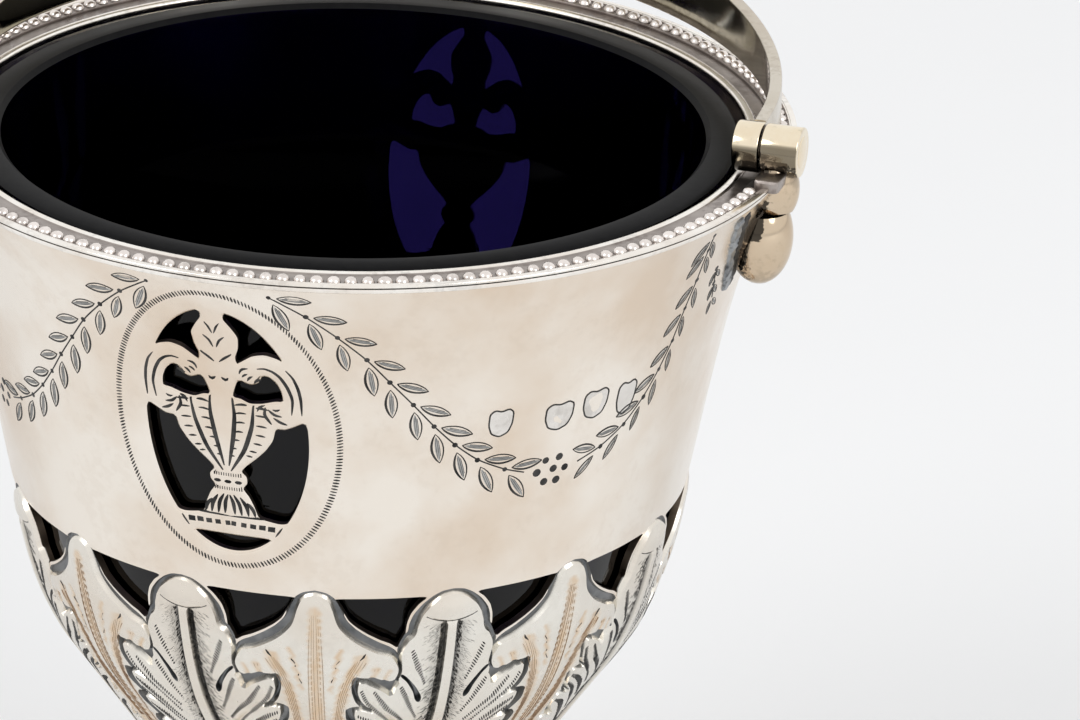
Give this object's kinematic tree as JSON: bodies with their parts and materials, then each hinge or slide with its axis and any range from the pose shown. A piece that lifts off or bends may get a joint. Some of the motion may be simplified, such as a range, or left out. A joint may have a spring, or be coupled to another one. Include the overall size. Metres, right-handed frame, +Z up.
{
  "type": "pedestal basket with swing handle and glass liner",
  "caption": "Pierced silver pedestal basket with a lift-out blue glass liner, a beaded rim and a swing handle on two pinned lugs.",
  "frame": {"origin": "on the table under the middle of the foot", "axes": "+Z up; X along the line of the two hinge pins; one pierced medallion faces -Y and the other +Y; at rest the handle is folded back towards +Y"},
  "size_m": [0.1134, 0.11, 0.1318],
  "materials": {
    "silver": "polished, softly tarnished",
    "blue_glass": "polished"
  },
  "bodies": {
    "basket": {"body_shell": "silver", "rim_collar": "silver", "rim_bead_wire_front": "silver", "rim_bead_wire_back": "silver", "rim_edge_wire": "silver", "hinge_lug_right": "silver", "hinge_lug_left": "silver", "lug_drop_right": "silver", "lug_drop_left": "silver", "hinge_pin_right": "silver", "hinge_pin_left": "silver", "stem_collar": "silver", "foot_trumpet": "silver", "foot_bead_wire": "silver", "foot_rim_wire": "silver"},
    "handle": {"handle_bow": "silver", "handle_knuckle_right": "silver", "handle_knuckle_left": "silver"},
    "liner": {"glass_liner": "blue_glass"}
  },
  "joints": [
    {"name": "handle_swing", "type": "hinge", "parent": "basket", "child": "handle", "pos_m": [0, 0, 0.12395], "axis": [1, 0, 0], "range_deg": [0, 173]},
    {"name": "liner_lift", "type": "slide", "parent": "basket", "child": "liner", "axis": [0, 0, 1], "range_m": [0, 0.09]}
  ]
}
